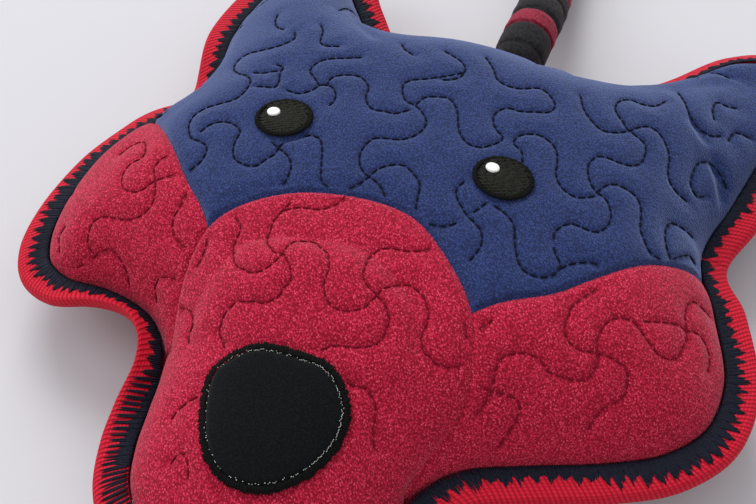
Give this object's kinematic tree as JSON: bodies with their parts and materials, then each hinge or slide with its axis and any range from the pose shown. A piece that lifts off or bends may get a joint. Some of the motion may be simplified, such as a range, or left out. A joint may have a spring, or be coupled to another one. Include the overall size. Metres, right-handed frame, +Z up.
{
  "type": "plush dog toy",
  "caption": "Flat stuffed dog's head with taped edges, raised muzzle, folding ears, embroidered eyes and nose, and a knotted rope tail.",
  "frame": {"origin": "on the table under the middle of the toy's plan, rope tail left out", "axes": "+Z up from the back panel to the face, +Y from the nose to the rope tail, +X to the right of the picture"},
  "size_m": [0.2426, 0.46, 0.0593],
  "materials": {
    "navy_plush": "short-pile quilted plush",
    "crimson_plush": "short-pile quilted plush",
    "red_webbing": "ribbed woven tape",
    "black_felt": "matt felt",
    "black_thread": "satin stitch",
    "white_thread": "satin stitch",
    "fibre": "loose polyester fibre",
    "rope_cord": "thick soft rope",
    "vinyl": "soft moulded vinyl"
  },
  "bodies": {
    "head": {"forehead_panel": "navy_plush", "cheek_panel_left": "crimson_plush", "cheek_panel_right": "crimson_plush", "muzzle_panel": "crimson_plush", "back_panel": "crimson_plush", "filling_front": "fibre", "filling_back": "fibre", "squeaker_bulb": "vinyl", "squeaker_reed": "vinyl", "tail_anchor": "rope_cord", "eye_left": "black_thread", "eye_highlight_left": "white_thread", "eye_right": "black_thread", "eye_highlight_right": "white_thread", "nose_border": "black_thread", "nose_patch": "black_felt", "edge_tape_face": "red_webbing", "edge_tape_top_left": "red_webbing", "edge_tape_top_right": "red_webbing"},
    "ear_left": {"ear_front_left": "navy_plush", "ear_back_left": "navy_plush", "ear_filling_left": "fibre", "ear_tape_left": "red_webbing"},
    "ear_right": {"ear_front_right": "navy_plush", "ear_back_right": "navy_plush", "ear_filling_right": "fibre", "ear_tape_right": "red_webbing"},
    "tail": {"tail_root": "rope_cord", "tail_rope": "rope_cord", "tail_knot": "rope_cord", "tail_tuft": "rope_cord"}
  },
  "joints": [
    {"name": "ear_left_fold", "type": "hinge", "parent": "head", "child": "ear_left", "pos_m": [-0.06936, 0.07023, 0.039], "axis": [0.7491, 0.6625, 0], "range_deg": [-10, 40], "stiffness_Nm_per_rad": 0.08},
    {"name": "ear_right_fold", "type": "hinge", "parent": "head", "child": "ear_right", "pos_m": [0.07536, 0.0694, 0.039], "axis": [0.6445, -0.7646, 0], "range_deg": [-10, 40], "stiffness_Nm_per_rad": 0.08},
    {"name": "tail_swing", "type": "hinge", "parent": "head", "child": "tail", "pos_m": [0.00869, 0.10363, 0.0215], "axis": [0, 0, 1], "range_deg": [-25, 25]}
  ]
}
